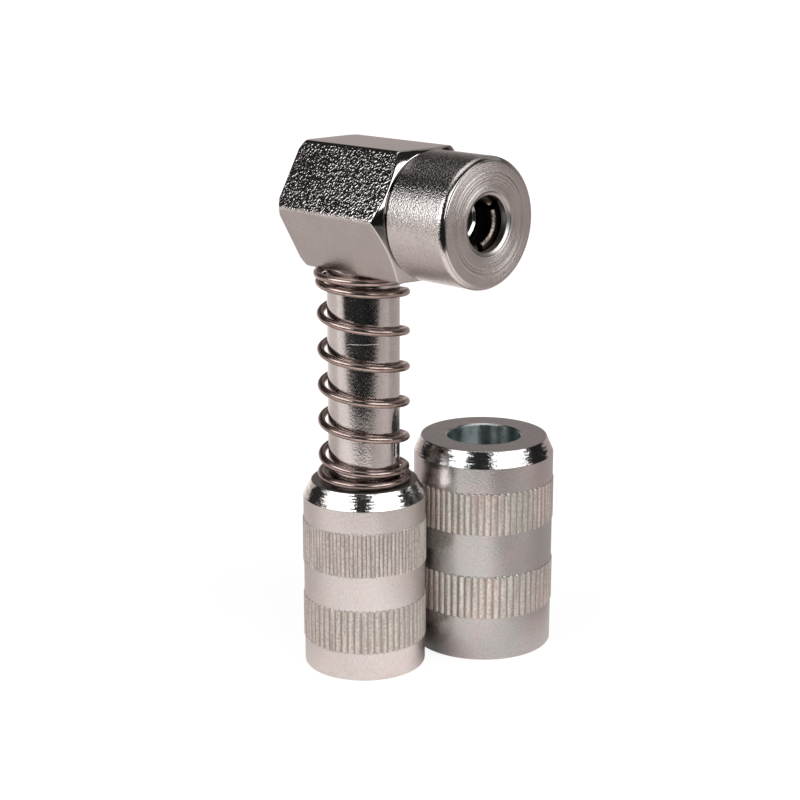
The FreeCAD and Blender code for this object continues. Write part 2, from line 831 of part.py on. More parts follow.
def behind_ball(centre, ball, coil_dia, wire, size):
    """Where a coil that sits on a ball starts, measured at the edge of its first turn."""
    reach = (ball + wire) / 2
    rise = (reach * reach - coil_dia * coil_dia / 4).root()
    return centre + rise - wire / 2 + size.seat_gap


def build_pieces(doc, size):
    """Every sub-part of the adapter, in the order in which it would go together."""
    at = work_out_places(size)
    pieces = [make_stem(doc, size, at), make_head(doc, size)]
    pieces += [make_nose_cap(doc, size, at), make_sealing_washer(doc, size)]
    pieces += [make_seal_holder(doc, size, at), make_grease_seal(doc, size, at)]
    pieces += [make_jaw(doc, size, at, number) for number in range(JAW_COUNT)]
    pieces += [make_jaw_washer(doc, size, at)]
    jaw_spring = make_hidden_spring(
        doc, "jaw_spring", size.jaw_wire, size.jaw_coil_dia, at.flange_front + size.seat_gap,
        at.jaw_washer_rear - size.seat_gap, JAW_SPRING_TURNS)
    pieces += [lay_along_nose(jaw_spring, size)]
    pieces += [make_ball(doc, "check_ball", size.check_ball_dia / 2,
                         x=at.check_ball, z=size.head_axis_height)]
    check_spring = make_hidden_spring(
        doc, "check_spring", size.check_wire, size.check_coil_dia,
        behind_ball(at.check_ball, size.check_ball_dia, size.check_coil_dia, size.check_wire, size),
        at.flange_rear + size.check_spring_seat_depth - size.seat_gap, CHECK_SPRING_TURNS)
    pieces += [lay_along_nose(check_spring, size)]
    pieces += [make_stop_ring(doc, size, at), make_nipple(doc, size, at)]
    pieces += [make_ball(doc, "nipple_ball", size.nipple_ball_dia / 2, z=at.nipple_ball)]
    pieces += [make_hidden_spring(
        doc, "nipple_spring", size.nipple_wire, size.nipple_coil_dia,
        behind_ball(at.nipple_ball, size.nipple_ball_dia, size.nipple_coil_dia,
                    size.nipple_wire, size),
        at.chamber_top - size.seat_gap, NIPPLE_SPRING_TURNS)]
    pieces += [make_sleeve_spring(doc, size), make_locking_sleeve(doc, size)]
    pieces += [make_spare_sleeve(doc, size)]
    return pieces


def check_document(doc, pieces):
    """Stops if any feature failed or any sub-part isn't one valid solid."""
    doc.recompute()
    for item in doc.Objects:
        if "Invalid" in item.State or "Error" in item.State:
            raise RuntimeError(f"{item.Label} failed: {item.State}")
    for piece in pieces:
        shape = piece.Shape
        if shape.isNull() or not shape.isValid() or len(shape.Solids) != 1:
            raise RuntimeError(f"{piece.Label} isn't one valid solid")


def main():
    doc = FreeCAD.newDocument("GreaseCouplerAdapter")
    size = fill_sheet(doc)
    pieces = build_pieces(doc, size)
    check_document(doc, pieces)
    os.makedirs("parts", exist_ok=True)
    for piece in pieces:
        piece.Shape.exportStep(f"parts/{piece.Label}.step")
        print(piece.Label, round(piece.Shape.Volume, 2))


main()
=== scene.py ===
import math

import bpy
import numpy as np
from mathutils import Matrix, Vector


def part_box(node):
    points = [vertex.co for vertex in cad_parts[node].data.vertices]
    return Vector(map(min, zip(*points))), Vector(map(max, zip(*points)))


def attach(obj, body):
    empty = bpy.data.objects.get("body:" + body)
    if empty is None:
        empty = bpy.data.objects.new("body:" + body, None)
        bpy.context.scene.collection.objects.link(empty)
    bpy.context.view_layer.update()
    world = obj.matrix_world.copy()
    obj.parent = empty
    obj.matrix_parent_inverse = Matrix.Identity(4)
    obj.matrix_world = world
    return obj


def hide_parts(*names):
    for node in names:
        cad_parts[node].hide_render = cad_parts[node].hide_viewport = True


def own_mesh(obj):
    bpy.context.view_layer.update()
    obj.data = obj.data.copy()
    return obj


# Grease coupler adapter with its sprung locking sleeve and a larger spare sleeve beside it.
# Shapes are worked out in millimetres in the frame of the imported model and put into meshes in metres.

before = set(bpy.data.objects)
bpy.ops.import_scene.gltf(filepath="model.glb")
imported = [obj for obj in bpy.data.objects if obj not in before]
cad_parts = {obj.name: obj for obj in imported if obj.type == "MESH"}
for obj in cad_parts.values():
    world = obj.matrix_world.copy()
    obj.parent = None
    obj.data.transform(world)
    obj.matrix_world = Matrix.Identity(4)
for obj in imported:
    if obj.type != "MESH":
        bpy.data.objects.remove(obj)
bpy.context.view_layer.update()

MILLIMETRE = 0.001

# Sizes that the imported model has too, in millimetres
HEAD_HEIGHT = 72.93
HEX_FLATS = 19.0
HEX_REAR = -7.3
HEX_FRONT = 14.05
HEX_EDGE_ROUND = 0.8
# Radius where each end's chamfer starts, and its angle
HEX_REAR_CHAMFER = (10.2, 45.0)
HEX_FRONT_CHAMFER = (9.1, 30.0)
SPOTFACE_RADIUS = 6.35
SPOTFACE_FLOOR = 64.23
CAVITY_RADIUS = 7.94
CAVITY_FLOOR = 6.5
NOSE_RADIUS = 9.475
NOSE_FACE = 25.6
MOUTH_EDGE = 4.7
# Where the jaws' cone ends and the seal's spigot starts, and the cap's own rear end
CONE_REAR = 17.22
CAP_REAR = 8.7
STEM_RADIUS = 5.555
STEM_END = 17.0
# Both knurled cups; their slanted top edge runs in by slant and down by rise
LOCKING = {"plain": 9.55, "height": 30.1, "bore": 7.95, "floor": 26.0, "hole": 5.85,
           "slant": 1.3, "rise": 2.52}
SPARE = {"plain": 11.21, "height": 34.4, "bore": 9.525, "floor": 29.3, "hole": 5.88,
         "slant": 1.14, "rise": 2.55}
SPRING_WIRE = 1.15
SPRING_COIL = 6.48
# Where the spring's first whole turn starts, in degrees, at the photograph's left of the stem
SPRING_START = 225.3
# A scored ring on the front of the stem
SCRATCH_HEIGHT = 52.65


# Surfaces

def put_in_mesh(name, points, faces, values=None):
    """An object whose mesh holds the points, given in millimetres, and faces; values become
    attributes of its points."""
    mesh = bpy.data.meshes.new(name)
    mesh.from_pydata((points * MILLIMETRE).tolist(), [], faces)
    for label, numbers in (values or {}).items():
        layer = mesh.attributes.new(label, "FLOAT", "POINT")
        layer.data.foreach_set("value", np.asarray(numbers, np.float32).ravel())
    mesh.polygons.foreach_set("use_smooth", [True] * len(mesh.polygons))
    mesh.update()
    piece = bpy.data.objects.new(name, mesh)
    bpy.context.scene.collection.objects.link(piece)
    return piece


def grid_faces(rows, columns, rows_meet=False):
    """Quads between neighbouring rows of a grid whose columns always meet round the piece, and
    whose last row meets the first where it is a closed ring of rows."""
    row = np.arange(rows if rows_meet else rows - 1)[:, None]
    column = np.arange(columns)[None, :]
    after = (row + 1) % rows
    beside = (column + 1) % columns
    corners = [row * columns + column, row * columns + beside,
               after * columns + beside, after * columns + column]
    return np.stack([np.broadcast_to(c, (len(row), columns)) for c in corners], -1).reshape(-1, 4)


def rounded_outline(corners, steps=5):
    """The corners of a closed outline as (along, out, rounding): each rounding above nothing puts
    an arc in place of its corner, tangent to both sides, with one more point just off each end so
    that shading stays on the arc."""
    places = np.array([corner[:2] for corner in corners], float)
    points = []
    for number, (*_, rounding) in enumerate(corners):
        here = places[number]
        back = places[number - 1] - here
        ahead = places[(number + 1) % len(places)] - here
        back /= np.linalg.norm(back)
        ahead /= np.linalg.norm(ahead)
        if rounding == 0:
            points.append(here[None, :])
            continue
        half = math.acos(float(np.clip(back @ ahead, -1, 1))) / 2
        reach = rounding / math.tan(half)
        middle = back + ahead
        centre = here + middle / np.linalg.norm(middle) * rounding / math.sin(half)
        first = here + back * reach - centre
        last = here + ahead * reach - centre
        opening = math.acos(float(np.clip(first @ last / rounding ** 2, -1, 1)))
        share = np.linspace(0, 1, steps + 1)[:, None]
        arc = (np.sin((1 - share) * opening) * first + np.sin(share * opening) * last)
        guard = rounding * 0.2
        points.append((here + back * (reach + guard))[None, :])
        points.append(centre + arc / math.sin(opening))
        points.append((here + ahead * (reach + guard))[None, :])
    return np.concatenate(points)


def turned_points(outline, columns):
    """(rows, columns, 3): the outline carried round the Z axis, along it = height, out = radius."""
    turn = np.linspace(0, math.tau, columns, endpoint=False)[None, :]
    radius = outline[:, 1:2]
    height = np.broadcast_to(outline[:, 0:1], (len(outline), columns))
    return np.stack([radius * np.cos(turn), radius * np.sin(turn), height], -1)


def lay_on_nose_axis(points):
    """Turns points built on Z so that their height runs along +X on the head's axis."""
    return np.stack([points[..., 2], points[..., 0], points[..., 1] + HEAD_HEIGHT], -1)


def turned_piece(name, corners, columns, steps=5, along_nose=False):
    """A closed outline turned about the stem's axis, or about the head's axis."""
    outline = rounded_outline(corners, steps)
    points = turned_points(outline, columns)
    if along_nose:
        points = lay_on_nose_axis(points)
    faces = grid_faces(len(outline), columns, rows_meet=True)
    return put_in_mesh(name, points.reshape(-1, 3), faces.tolist())


def hexagon_reach(turn, flats, rounding):
    """Distance from the centre to a hexagon's side in the direction of turn, its corners rounded
    by arcs: the flat gives flats / 2 / cos(a), a being the angle off the nearest flat's middle, and
    past the arc's start the reach is that of the arc about a centre inside the corner."""
    gap = np.abs((turn - math.pi / 6) % (math.pi / 3) - math.pi / 6)
    off = math.pi / 6 - gap
    apothem = flats / 2
    centre = (apothem - rounding) / math.cos(math.pi / 6)
    on_arc = centre * np.cos(gap) + np.sqrt(
        np.maximum(rounding ** 2 - (centre * np.sin(gap)) ** 2, 0))
    on_flat = apothem / np.cos(off)
    start = math.atan2((apothem - rounding) * math.tan(math.pi / 6), apothem)
    return np.where(off > start, on_arc, on_flat)


def bent(first, corner, last, steps):
    """Points on the quadratic curve that leaves first towards corner and comes in to last."""
    share = np.linspace(0, 1, steps)[:, None, None]
    return (1 - share) ** 2 * first + 2 * share * (1 - share) * corner + share ** 2 * last


def chamfered_end(end, way, edge, chamfer):
    """Rows of (along, out) from a bar's end face over its turned chamfer to its sides. A point on
    the chamfer at distance r from the axis lies (r - start) * tan(angle) in from the end; both
    edges of the chamfer are eased, and where it would miss the side a hair of it stays."""
    soft_face, soft_side, least = 0.24, 0.2, 0.12
    start, angle = chamfer
    slope = math.tan(math.radians(angle))
    foot = np.minimum(start, edge - least)
    high = end + way * (edge - foot) * slope
    slant = np.hypot(edge - foot, (edge - foot) * slope)
    lie = np.array([way * (edge - foot) * slope, edge - foot]) / slant
    low_corner = np.array([np.full_like(edge, end), foot])
    high_corner = np.array([high, edge])
    low_ease = np.minimum(soft_face, slant / 2)
    high_ease = np.minimum(soft_side, slant / 2)
    face = np.array([np.full_like(edge, end), foot - soft_face])
    side = np.array([high + way * soft_side, edge])
    return [*bent(face, low_corner, low_corner + lie * low_ease, 5),
            *bent(high_corner - lie * high_ease, high_corner, side, 6)]


def hexagon_head():
    """The hexagon bar along X. Columns go round it, closer together at the six edges. Rows go from
    the rear face's middle out over the rear chamfer, along the bar, over the front chamfer and back
    into the cavity for the nose."""
    steps = np.linspace(-1, 1, 57)
    spread = math.pi / 6 * (0.45 * steps + 0.55 * np.sign(steps) * (1 - (1 - np.abs(steps)) ** 3))
    turn = np.concatenate([spread[:-1] + math.pi / 3 * side + math.pi / 6 for side in range(6)])
    edge = hexagon_reach(turn, HEX_FLATS, HEX_EDGE_ROUND)

    def ring(along, radius):
        return np.array([np.full_like(edge, along), np.zeros_like(edge) + radius])

    # Radii of the small ring round each middle and of the last ring before a chamfer
    pole, rim = 0.4, 8.8
    rows = [ring(HEX_REAR, pole), ring(HEX_REAR, 5.0), ring(HEX_REAR, rim)]
    rows += chamfered_end(HEX_REAR, 1, edge, HEX_REAR_CHAMFER)
    rows += [ring(along, edge) for along in (HEX_REAR + 1.7, 0.0, 4.0, 8.0, HEX_FRONT - 1.7)]
    rows += chamfered_end(HEX_FRONT, -1, edge, HEX_FRONT_CHAMFER)[::-1]
    rows += [ring(HEX_FRONT, rim), ring(HEX_FRONT, CAVITY_RADIUS), ring(HEX_FRONT - 1, CAVITY_RADIUS),
             ring(CAVITY_FLOOR, CAVITY_RADIUS), ring(CAVITY_FLOOR, 3.0), ring(CAVITY_FLOOR, pole)]
    grid = np.array(rows)
    along, out = grid[:, 0], grid[:, 1]
    points = np.stack([along, out * np.cos(turn), out * np.sin(turn) + HEAD_HEIGHT], -1)
    columns = len(turn)
    faces = grid_faces(len(rows), columns)[:, ::-1].tolist()
    last = (len(rows) - 1) * columns
    faces.append(list(range(columns)))
    faces.append([last + column for column in range(columns)][::-1])
    head = put_in_mesh("hexagon_head", points.reshape(-1, 3), faces)
    cut_spotface(head)
    head.data.set_sharp_from_angle(angle=math.radians(30))
    return head


def cut_spotface(head):
    """Takes the round seat for the stem's shoulder out of the bar's underside; it also bites a
    thin slice off the foot of each lower side."""
    axis, below = 0.001, SPOTFACE_FLOOR - 4
    cutter = turned_piece("spotface_cutter", [
        (SPOTFACE_FLOOR, axis, 0),
        (SPOTFACE_FLOOR, SPOTFACE_RADIUS, 0.08),
        (below, SPOTFACE_RADIUS, 0),
        (below, axis, 0),
    ], columns=144)
    cutting = head.modifiers.new("spotface", "BOOLEAN")
    cutting.operation = "DIFFERENCE"
    cutting.solver = "EXACT"
    cutting.object = cutter
    whole = bpy.context.evaluated_depsgraph_get()
    cut = bpy.data.meshes.new_from_object(head.evaluated_get(whole))
    head.modifiers.clear()
    head.data = cut
    bpy.data.objects.remove(cutter)


def wound_path(marks, start, steps):
    """Centre line of a coil: height and radius are smooth functions of the turn that pass near
    the given (turn, height, radius) marks, and the angle is start, in degrees, plus a whole circle
    for each turn."""
    marks = np.array(marks, float)
    turns = np.linspace(marks[0, 0], marks[-1, 0], int((marks[-1, 0] - marks[0, 0]) * steps) + 1)
    width = steps // 5
    kernel = np.hanning(width * 2 + 1)

    def smooth(column):
        fine = np.interp(turns, marks[:, 0], marks[:, column])
        padded = np.concatenate([2 * fine[0] - fine[width:0:-1], fine,
                                 2 * fine[-1] - fine[-2:-width - 2:-1]])
        return np.convolve(padded, kernel / kernel.sum(), "valid")

    height, radius = smooth(1), smooth(2)
    angle = math.radians(start) + turns * math.tau
    return np.stack([radius * np.cos(angle), radius * np.sin(angle), height], -1)


def round_tube(path, radius, sides):
    """Points and faces of a round wire on a path about Z: rings square to the path, a ring's
    points being centre + radius * (outward * cos + upward * sin); each end is eased by a smaller
    ring and closed by one face."""
    along = np.gradient(path, axis=0)
    along /= np.linalg.norm(along, axis=1, keepdims=True)
    outward = path * [1, 1, 0]
    outward /= np.linalg.norm(outward, axis=1, keepdims=True)
    upward = np.cross(along, outward)
    upward /= np.linalg.norm(upward, axis=1, keepdims=True)
    turn = np.linspace(0, math.tau, sides, endpoint=False)[None, :, None]
    ring = outward[:, None] * np.cos(turn) + upward[:, None] * np.sin(turn)
    body = path[:, None] + radius * ring
    edge = radius * 0.12
    first = path[0] - along[0] * edge + (radius - edge) * ring[0]
    last = path[-1] + along[-1] * edge + (radius - edge) * ring[-1]
    points = np.concatenate([first[None], body, last[None]])
    faces = grid_faces(len(points), sides).tolist()
    faces.append(list(range(sides))[::-1])
    faces.append([(len(points) - 1) * sides + side for side in range(sides)])
    return points.reshape(-1, 3), faces


# Teeth of the knurls

def comb(turn, teeth, shift=0.0):
    """Round-topped ridges, 0 in the grooves and 1 on the crests: the absolute value of a cosine,
    which has sharp grooves, to a power below one, which widens the crests."""
    return np.abs(np.cos(turn * teeth / 2 + shift)) ** 0.7


def knurled_sleeve(name, sleeve, bands, centre):
    """A turned cup whose outside carries knurled bands, each given as (low, high, rise, depth,
    ridges). Inside a band a point stands out from the plain radius by ridge * (rise + depth) -
    depth, and the ridges fade at its ends over a run-out whose length follows each ridge, which
    scallops the band's edge."""
    plain, columns = sleeve["plain"], 900
    outline = sleeve_outline(sleeve, bands)
    points = turned_points(outline, columns)
    turn = np.linspace(0, math.tau, columns, endpoint=False)[None, :]
    height = outline[:, 0:1]
    outside = (outline[:, 1:2] > plain - 1e-6) & np.ones_like(turn, bool)
    raised = np.zeros(outside.shape)
    ridges = np.zeros(outside.shape)
    mask = np.zeros(outside.shape)
    for low, high, rise, depth, make_ridges in bands:
        ridge = make_ridges(turn)
        run_out = 0.16
        share = np.clip((height - low - 0.2 * (1 - ridge)) / run_out, 0, 1)
        share *= np.clip((high - 0.28 * (1 - ridge) - height) / run_out, 0, 1)
        share = share * share * (3 - 2 * share) * outside
        raised += share * (ridge * (rise + depth) - depth)
        ridges += share * ridge
        mask += share
    out = (outline[:, 1:2] + raised)[..., None] / np.maximum(outline[:, 1:2], 1e-9)[..., None]
    points[..., :2] *= out
    points[..., 0] += centre[0]
    points[..., 1] += centre[1]
    faces = grid_faces(len(outline), columns, rows_meet=True)
    values = {"ridge": ridges, "knurl": mask}
    return put_in_mesh(name, points.reshape(-1, 3), faces.tolist(), values)


def sleeve_outline(sleeve, bands):
    """Closed outline of a cup as (height, radius), with rows close together at the bands' ends."""
    plain, height, bore, floor, hole, slant, rise = sleeve.values()
    outline = [np.array([(0, bore + 0.3), (0, plain - 0.2), (0.06, plain - 0.06), (0.2, plain)])]
    for low, high, *_ in bands:
        # Close together over the run-outs, wide apart between them
        ends = [low - 0.3, low - 0.04, *np.linspace(low, low + 0.48, 8), low + 0.7]
        ends += list(np.linspace(low + 1.4, high - 1.4, 5))
        ends += [high - 0.8, *np.linspace(high - 0.55, high, 9), high + 0.04, high + 0.3]
        outline.append(np.array([(z, plain) for z in ends]))
    top = rounded_outline([
        (height - rise - 2, plain - 1e-4, 0),
        (height - rise, plain, 0.2),
        (height, plain - slant, 0.16),
        (height, hole + 0.25, 0.1),
        (height - 0.25, hole, 0.1),
        (floor, hole, 0.1),
        (floor, bore, 0.3),
        (0.3, bore, 0.1),
        (0, bore + 0.3, 0.05),
        (0, plain - 0.2, 0),
    ], steps=4)
    outline.append(top[1:-1])
    return np.concatenate(outline)[1:]


# Shader nodes

class Graph:
    """Short ways to add shader nodes to a material or the world."""

    def __init__(self, holder, empty=True):
        holder.use_nodes = True
        self.nodes = holder.node_tree.nodes
        self.links = holder.node_tree.links
        if empty:
            self.nodes.clear()

    def add(self, kind, inputs=None, **settings):
        """A node with its settings; each input is a value or another node's output."""
        node = self.nodes.new(kind)
        for label, value in settings.items():
            setattr(node, label, value)
        for label, value in (inputs or {}).items():
            if isinstance(value, bpy.types.NodeSocket):
                self.links.new(value, node.inputs[label])
            else:
                node.inputs[label].default_value = value
        return node

    def count(self, way, first, second=0.0, third=0.0):
        """A Math node."""
        return self.add("ShaderNodeMath", {0: first, 1: second, 2: third}, operation=way).outputs[0]

    def product(self, whole, *parts):
        """All the values multiplied."""
        for part in parts:
            whole = self.count("MULTIPLY", whole, part)
        return whole

    def hypotenuse(self, first, second):
        """The square root of the sum of both squares."""
        return self.count("SQRT", self.count(
            "ADD", self.product(first, first), self.product(second, second)))

    def span(self, value, low, high, to_low=0.0, to_high=1.0, ease="LINEAR"):
        """The value's stretch from low to high, spread over another stretch and held at its ends."""
        return self.add("ShaderNodeMapRange", {
            "Value": value, "From Min": low, "From Max": high, "To Min": to_low, "To Max": to_high},
            interpolation_type=ease).outputs[0]

    def eased(self, *stretch):
        """As span, but leaving one end and reaching the other gently."""
        return self.span(*stretch, ease="SMOOTHSTEP")

    def between(self, share, first, second):
        """A number between two numbers."""
        return self.add("ShaderNodeMix", {0: share, 2: first, 3: second}).outputs[0]

    def mixed(self, share, first, second, way="MIX"):
        """A colour between two colours, or another blend of them."""
        first, second = (colour if isinstance(colour, bpy.types.NodeSocket) else (*colour, 1)
                         for colour in (first, second))
        return self.add("ShaderNodeMix", {0: share, 6: first, 7: second},
                        data_type="RGBA", blend_type=way).outputs[2]

    def joined(self, x, y, z):
        """A vector of three numbers."""
        return self.add("ShaderNodeCombineXYZ", {0: x, 1: y, 2: z}).outputs[0]

    def along(self, place, direction):
        """How far a place lies along a direction, in millimetres."""
        away = self.add("ShaderNodeVectorMath", {0: place, 1: tuple(direction)},
                        operation="DOT_PRODUCT")
        return self.count("DIVIDE", away.outputs["Value"], MILLIMETRE)

    def far_from(self, first, second, first_centre, second_centre):
        """Distance from a point, both given as two lengths."""
        return self.hypotenuse(self.count("SUBTRACT", first, first_centre),
                               self.count("SUBTRACT", second, second_centre))


class Finish(Graph):
    """A procedural material: its shader, and patterns for it that are sized in millimetres."""

    def __init__(self, name, colour, metal, rough, **settings):
        self.material = bpy.data.materials.new(name)
        super().__init__(self.material, empty=False)
        self.shader = self.nodes["Principled BSDF"]
        self.shader.inputs["Base Color"].default_value = (*colour, 1)
        self.shader.inputs["Metallic"].default_value = metal
        self.shader.inputs["Roughness"].default_value = rough
        for label, value in settings.items():
            self.shader.inputs[label].default_value = value
        where = self.add("ShaderNodeTexCoord")
        self.place = where.outputs["Object"]
        self.facing = where.outputs["Normal"]

    def drive(self, label, value):
        """Links a value to one of the shader's own sockets."""
        self.links.new(value, self.shader.inputs[label])

    def noise(self, scale, detail=2.0, rough=0.5, place=None):
        """Noise with features about 1 / scale millimetres wide."""
        return self.add("ShaderNodeTexNoise", {
            "Vector": place or self.place, "Scale": scale / MILLIMETRE, "Detail": detail,
            "Roughness": rough}).outputs["Fac"]

    def attribute(self, name):
        """A value that the mesh carries."""
        return self.add("ShaderNodeAttribute", attribute_name=name).outputs["Fac"]

    def bump(self, height, depth, under=None):
        """Turns a height, 0 to 1 standing for depth millimetres, into bent normals."""
        inputs = {"Height": height, "Strength": 1.0, "Distance": depth * MILLIMETRE}
        if under is not None:
            inputs["Normal"] = under
        return self.add("ShaderNodeBump", inputs).outputs[0]

    def inside(self, distance, start, end):
        """1 nearer than start and 0 past end, both in millimetres."""
        return self.span(distance, start * MILLIMETRE, end * MILLIMETRE, 1.0, 0.0)

    def past(self, distance, start, end):
        """0 nearer than start and 1 past end, both in millimetres."""
        return self.span(distance, start * MILLIMETRE, end * MILLIMETRE)

    def split(self, vector):
        """The three numbers of a vector."""
        return self.add("ShaderNodeSeparateXYZ", {0: vector}).outputs

    def around(self, centre=(0.0, 0.0), along_nose=False):
        """Distance from an upright axis, angle round it and height, for patterns that follow a
        turned piece; along_nose takes the head's axis instead."""
        x, y, z = self.split(self.place)
        if along_nose:
            height, first = x, y
            second = self.count("SUBTRACT", z, HEAD_HEIGHT * MILLIMETRE)
        else:
            height = z
            first = self.count("SUBTRACT", x, centre[0] * MILLIMETRE)
            second = self.count("SUBTRACT", y, centre[1] * MILLIMETRE)
        return self.hypotenuse(first, second), self.count("ARCTAN2", second, first), height

    def tool_rings(self, across, factor, sideways=0.0, rough=0.7):
        """Noise that changes along one length only, as a cutting tool's marks do."""
        return self.noise(1.0, detail=3.0, rough=rough, place=self.joined(
            self.product(across, factor), sideways, 0.0))


# Finishes

# Zinc plating in its duller and brighter clouds
ZINC_DULL = (0.57, 0.54, 0.525)
ZINC_BRIGHT = (0.62, 0.59, 0.575)


def zinc_on_rolled_bar():
    """Bright zinc over a rolled hexagon bar: sparkling grain about 0.35 mm wide, calmer on the
    upper side and below the middle, with thin stains."""
    finish = Finish("zinc_on_rolled_bar", (0.6, 0.57, 0.555), 1.0, 0.1)
    cloud = finish.noise(0.25, detail=3.0)
    flecks = finish.noise(4.5, detail=2.0, rough=0.7)
    colour = finish.mixed(finish.span(cloud, 0.35, 0.65), ZINC_DULL, ZINC_BRIGHT)
    colour = finish.mixed(finish.span(flecks, 0.45, 0.7), colour, (0.5, 0.465, 0.455))
    finish.drive("Base Color", colour)

    level = finish.split(finish.place)[2]
    upper = HEAD_HEIGHT + HEX_FLATS / 2
    above_middle = finish.past(level, HEAD_HEIGHT - 0.6, HEAD_HEIGHT - 0.2)
    finish.drive("Roughness", finish.span(above_middle, 0.0, 1.0, 0.29, 0.065))

    grain = finish.noise(2.6, detail=1.0)
    coarse = finish.noise(0.8, detail=1.0)
    height = finish.count("ADD", finish.span(grain, 0.44, 0.8), finish.product(coarse, 0.2))
    endward = finish.count("ABSOLUTE", finish.split(finish.facing)[0])
    height = finish.product(
        height, finish.span(above_middle, 0.0, 1.0, 0.35, 1.0),
        finish.span(level, (upper - 0.3) * MILLIMETRE, (upper - 0.1) * MILLIMETRE, 1.0, 0.12),
        finish.span(endward, 0.15, 0.4, 1.0, 0.0))
    finish.drive("Normal", finish.bump(height, 0.06))
    return finish.material


def zinc_on_turned_nose():
    """Bright zinc on the screwed cap: fine grain on its side, cutting rings on its face, a satin mouth,
    and the groove behind its collar painted near black as painted shade."""
    finish = Finish("zinc_on_turned_nose", (0.6, 0.57, 0.555), 1.0, 0.16)
    distance, _, height = finish.around(along_nose=True)
    on_face = finish.past(height, NOSE_FACE - 0.15, NOSE_FACE - 0.05)
    rings = finish.tool_rings(distance, 2.6)
    cloud = finish.noise(0.3, detail=3.0)
    flecks = finish.noise(4.5, detail=2.0, rough=0.7)
    colour = finish.mixed(finish.span(cloud, 0.35, 0.65), ZINC_DULL, ZINC_BRIGHT)
    colour = finish.mixed(finish.span(flecks, 0.5, 0.7), colour, (0.48, 0.45, 0.44))
    colour = finish.mixed(finish.product(on_face, finish.span(rings, 0.35, 0.65)),
                          colour, (0.49, 0.46, 0.445))
    # Painted shade: the groove behind the collar is painted near black, where shadow falls in it.
    groove = finish.inside(height, HEX_FRONT + 0.66, HEX_FRONT + 0.72)
    finish.drive("Base Color", finish.mixed(groove, colour, (0.04, 0.037, 0.036)))

    mouth = finish.inside(distance, MOUTH_EDGE, MOUTH_EDGE + 0.06)
    polish = finish.count("ADD", finish.span(cloud, 0.3, 0.7, 0.1, 0.14), finish.product(on_face, 0.14))
    finish.drive("Roughness", finish.between(mouth, polish, 0.34))

    grain = finish.noise(3.8, detail=2.0, rough=0.6)
    on_side = finish.past(distance, NOSE_RADIUS - 0.3, NOSE_RADIUS - 0.02)
    first = finish.bump(finish.product(grain, on_side), 0.085)
    finish.drive("Normal", finish.bump(finish.product(rings, on_face), 0.16, under=first))
    return finish.material


def zinc_on_stem():
    """Bright zinc on a turned bar: faint rings round it, pits all over, and on its front a fine
    mottle, nicks and one scored ring."""
    finish = Finish("zinc_on_stem", (0.62, 0.595, 0.585), 1.0, 0.17)
    _, angle, height = finish.around()
    cloud = finish.noise(0.4, detail=3.0)
    pits = finish.noise(4.5, detail=2.0, rough=0.7)
    colour = finish.mixed(finish.span(cloud, 0.35, 0.65), (0.57, 0.545, 0.535), (0.65, 0.62, 0.61))
    colour = finish.mixed(finish.span(pits, 0.56, 0.7), colour, (0.36, 0.345, 0.345))

    off = finish.count("ABSOLUTE", finish.count("SUBTRACT", height, SCRATCH_HEIGHT * MILLIMETRE))
    scored = finish.product(finish.inside(off, 0.03, 0.09),
                            finish.span(finish.noise(1.2, detail=1.0), 0.42, 0.5))
    nicks = finish.span(finish.noise(3.4, detail=3.0, rough=0.7), 0.6, 0.72, 0.0, 0.5)
    scratch = finish.product(finish.count("MAXIMUM", scored, nicks),
                             finish.span(angle, -1.28, -1.2),
                             finish.span(angle, -0.36, -0.29, 1.0, 0.0))
    finish.drive("Base Color", finish.mixed(scratch, colour, (0.9, 0.88, 0.87)))
    smooth = finish.span(cloud, 0.35, 0.65, 0.1, 0.17)
    finish.drive("Roughness", finish.between(scratch, smooth, 0.6))

    front = finish.product(finish.span(angle, -1.35, -1.1), finish.span(angle, -0.45, -0.2, 1.0, 0.0))
    drawn = finish.add("ShaderNodeMapping", {"Vector": finish.place, "Scale": (1, 1, 0.6)})
    mottle = finish.noise(4.0, detail=3.0, rough=0.65, place=drawn.outputs[0])
    rubbed = finish.product(mottle, finish.span(front, 0.0, 1.0, 0.3, 1.0))
    rings = finish.tool_rings(height, 2.6, sideways=finish.product(angle, 0.0004))
    finish.drive("Normal", finish.bump(rings, 0.002, under=finish.bump(rubbed, 0.02)))
    return finish.material


